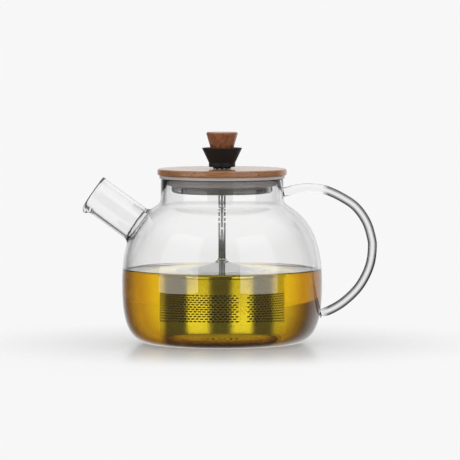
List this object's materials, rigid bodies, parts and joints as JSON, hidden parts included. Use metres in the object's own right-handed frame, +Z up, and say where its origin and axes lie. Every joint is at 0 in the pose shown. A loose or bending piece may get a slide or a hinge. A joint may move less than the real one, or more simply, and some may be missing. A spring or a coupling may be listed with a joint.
{
  "type": "glass teapot",
  "caption": "Round-shouldered glass teapot with a straight upturned spout, a hooped glass handle, a flat wooden lid and a lift-up steel infuser on a notched rod.",
  "frame": {"origin": "on the table plane, centred under the whole teapot's bounding box; the pot's own axis is the vertical line x = -5.40 mm, y = 0", "axes": "+Z up, -X towards the spout, +X towards the handle, -Y towards the viewer"},
  "size_m": [0.1986, 0.1362, 0.1439],
  "materials": {
    "glass": "clear borosilicate, fire-polished",
    "lid_wood": "fine-grained pale brown wood, oiled",
    "knob_wood": "reddish brown wood, oiled",
    "polished_steel": "bright stainless steel",
    "perforated_steel": "bright stainless steel with rows of short slots",
    "brass": "turned brass",
    "clear_silicone": "translucent silicone",
    "black_silicone": "matt black silicone",
    "tea": "clear amber tea"
  },
  "bodies": {
    "pot": {"glass_body": "glass", "spout": "glass", "handle": "glass"},
    "lid": {"lid_disc": "lid_wood", "lid_pan": "polished_steel", "lid_gasket": "clear_silicone", "lid_bush": "polished_steel", "bush_nut": "polished_steel", "grip_collar": "black_silicone"},
    "plunger": {"knob": "knob_wood", "knob_plug": "brass", "pull_rod": "polished_steel", "rod_collar": "polished_steel", "infuser_cap": "polished_steel", "rod_stud": "polished_steel", "cap_nut": "polished_steel"},
    "basket": {"basket_wall": "perforated_steel", "basket_rim": "perforated_steel", "basket_floor": "perforated_steel", "floor_ring": "perforated_steel"}
  },
  "joints": [
    {"name": "lid_lift", "type": "slide", "parent": "pot", "child": "lid", "axis": [0, 0, 1], "range_m": [0, 0.12]},
    {"name": "infuser_lift", "type": "slide", "parent": "lid", "child": "plunger", "axis": [0, 0, 1], "range_m": [0, 0.042]},
    {"name": "basket_twist", "type": "hinge", "parent": "plunger", "child": "basket", "pos_m": [-0.0054, 0, 0], "axis": [0, 0, 1], "range_deg": [0, 24]}
  ]
}
